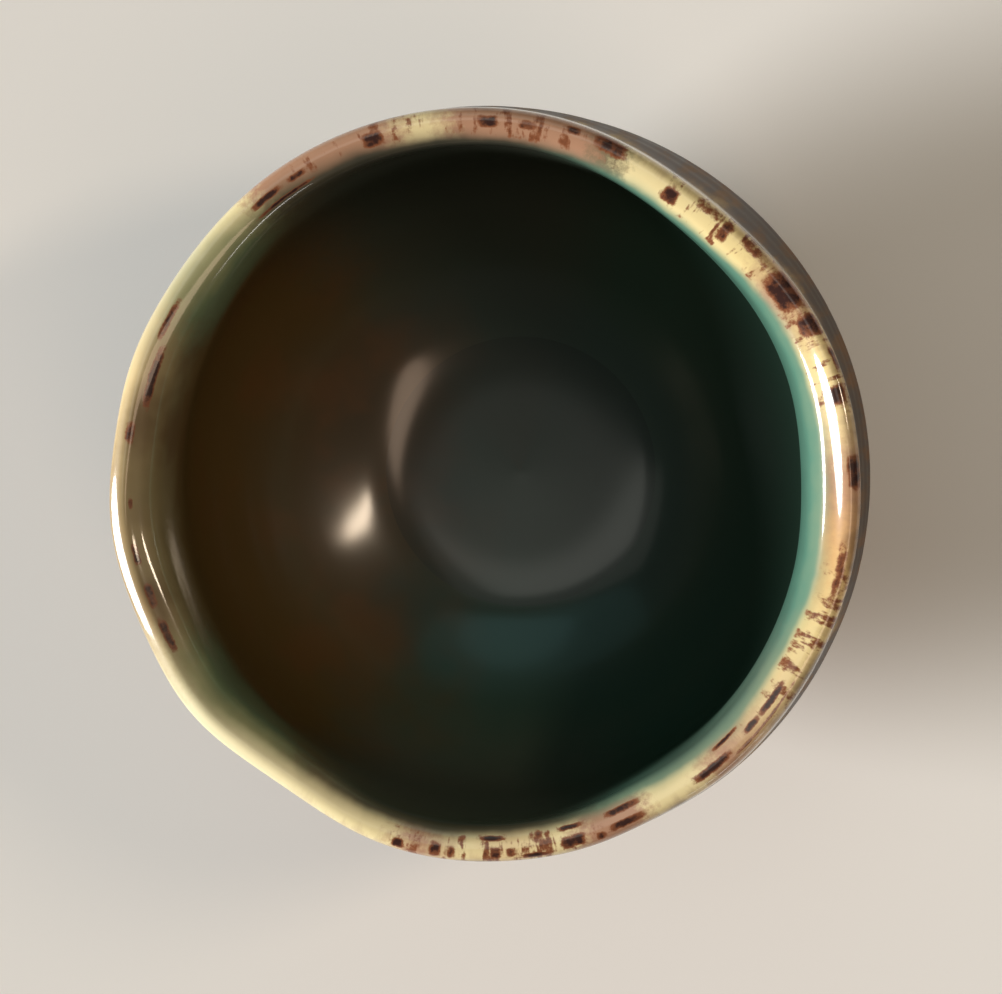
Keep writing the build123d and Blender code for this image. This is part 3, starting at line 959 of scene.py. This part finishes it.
lip_glaze = turned_piece(
    "lip_glaze_cap",
    finer(np.concatenate([face_reach, back_reach])),
    finer(np.concatenate([face_rise, back_rise])),
)
lip_crest = np.repeat(np.concatenate([lip_along, under_lip])[:, None], LIP_AROUND, axis=1)
iron = np.zeros(lip_crest.shape)
for middle, place_across, half_length, half_width, strength in IRON_MARKS:
    far_round = degrees_from(middle, LIP_AROUND) / half_length
    far_across = (lip_crest / MM - place_across) / half_width
    iron = np.maximum(iron, strength * np.exp(-(far_round**4 + far_across**4)))
mottle = np.zeros(LIP_AROUND)
for middle, half_width in MOTTLED_STRETCHES:
    mottle += nearness(middle, half_width, LIP_AROUND)
keep_glaze(lip_glaze, lip_crest, iron, np.clip(mottle, 0, 1))
finish_piece(lip_glaze, glaze_material("cream_lip", 0.07), "lip_glaze")

# The studio: a wide pale floor, a low soft window on the left, two softboxes above on the left, two blue
# lights behind, a small warm light and a broad dim one on the right, and a strip in front on the right.
# The camera looks down into the mouth from a little to the right of its middle and behind it.
FLOOR_REACH = 4.0
floor_mesh = bpy.data.meshes.new("floor")
corners = [
    (-FLOOR_REACH, -FLOOR_REACH, 0),
    (FLOOR_REACH, -FLOOR_REACH, 0),
    (FLOOR_REACH, FLOOR_REACH, 0),
    (-FLOOR_REACH, FLOOR_REACH, 0),
]
floor_mesh.from_pydata(corners, [], [(0, 1, 2, 3)])
floor = bpy.data.objects.new("floor", floor_mesh)
bpy.context.scene.collection.objects.link(floor)
paper = new_material("pale_floor", {"Base Color": (0.78, 0.77, 0.75, 1), "Roughness": 0.9})[0]
floor_mesh.materials.append(paper)

world = bpy.data.worlds.new("studio")
world.use_nodes = True
background = world.node_tree.nodes["Background"].inputs
background["Color"].default_value = (0.95, 0.98, 1.0, 1)
background["Strength"].default_value = 0.06
bpy.context.scene.world = world


def area_light(name, shape, azimuth, elevation, tilt, distance, width, height, strength, colour):
    """A soft light on the mouth of the cup, from a direction round it, tilted from the upright."""
    light = bpy.data.lights.new(name, "AREA")
    light.shape = shape
    light.size = width
    light.size_y = height
    light.energy = strength * math.pi * math.pi / 4 * width * height
    light.color = colour
    lamp = bpy.data.objects.new(name, light)
    turn, lift = math.radians(azimuth), math.radians(elevation)
    away = Vector((math.cos(turn) * math.cos(lift), math.sin(turn) * math.cos(lift), math.sin(lift)))
    rightward = Vector((-math.sin(turn), math.cos(turn), 0))
    upright = Matrix((rightward, away.cross(rightward), away)).transposed()
    lamp.rotation_euler = (upright @ Matrix.Rotation(math.radians(tilt), 3, "Z")).to_euler()
    lamp.location = Vector((0, 0, cad_bounds[1].z)) + away * distance
    bpy.context.scene.collection.objects.link(lamp)


LIGHTS = (  # name, shape, three angles in degrees, distance, width and height in metres, strength, colour
    ("softbox_above", "RECTANGLE", 157, 75.7, -55, 0.67, 0.29, 0.18, 1.0, (1.0, 1.0, 0.90)),
    ("softbox_around", "RECTANGLE", 148, 70, -58, 0.74, 0.60, 0.34, 0.34, (1.0, 1.0, 0.90)),
    ("blue_behind", "ELLIPSE", 98, 47, 0, 0.70, 0.38, 0.24, 0.30, (0.45, 0.92, 0.95)),
    ("blue_around", "ELLIPSE", 104, 43, 0, 0.71, 0.80, 0.46, 0.20, (0.40, 0.94, 0.88)),
    ("warm_right", "ELLIPSE", 15, 50, 35, 0.60, 0.055, 0.17, 34.0, (1.0, 0.80, 0.59)),
    ("grey_right", "ELLIPSE", -45, 67, -21, 0.70, 0.16, 0.42, 3.7, (1.0, 0.72, 0.52)),
    ("strip_front", "ELLIPSE", -55, 9, 0, 0.70, 0.30, 0.06, 8.0, (1.0, 0.97, 0.92)),
)
for light in LIGHTS:
    area_light(*light)

WINDOW_FROM = 192  # direction of the daylight round the cup, in degrees
WINDOW_LIFT = 18.5  # its height above the table, in degrees
daylight = bpy.data.lights.new("window_left", "SUN")
daylight.energy = 5.2
daylight.angle = math.radians(24)
daylight.color = (1.0, 0.98, 0.95)
window = bpy.data.objects.new("window_left", daylight)
window.rotation_euler = (0, math.radians(90 - WINDOW_LIFT), math.radians(WINDOW_FROM))
bpy.context.scene.collection.objects.link(window)

CAMERA_PLACE = Vector((34.7, 12.0, 349.5)) * MM
CAMERA_AIM = Vector((2.1, -0.98, 49.5)) * MM
camera_data = bpy.data.cameras.new("camera")
camera_data.lens = 116.3
camera_data.sensor_width = 36.0
camera_data.clip_start = 0.01
camera = bpy.data.objects.new("camera", camera_data)
camera.location = CAMERA_PLACE
backward = (CAMERA_PLACE - CAMERA_AIM).normalized()
rightward = Vector((0, 1, 0)).cross(backward).normalized()
upward = backward.cross(rightward)
camera.rotation_euler = Matrix((rightward, upward, backward)).transposed().to_euler()
bpy.context.scene.collection.objects.link(camera)
bpy.context.scene.camera = camera
bpy.context.scene.view_settings.view_transform = "Standard"
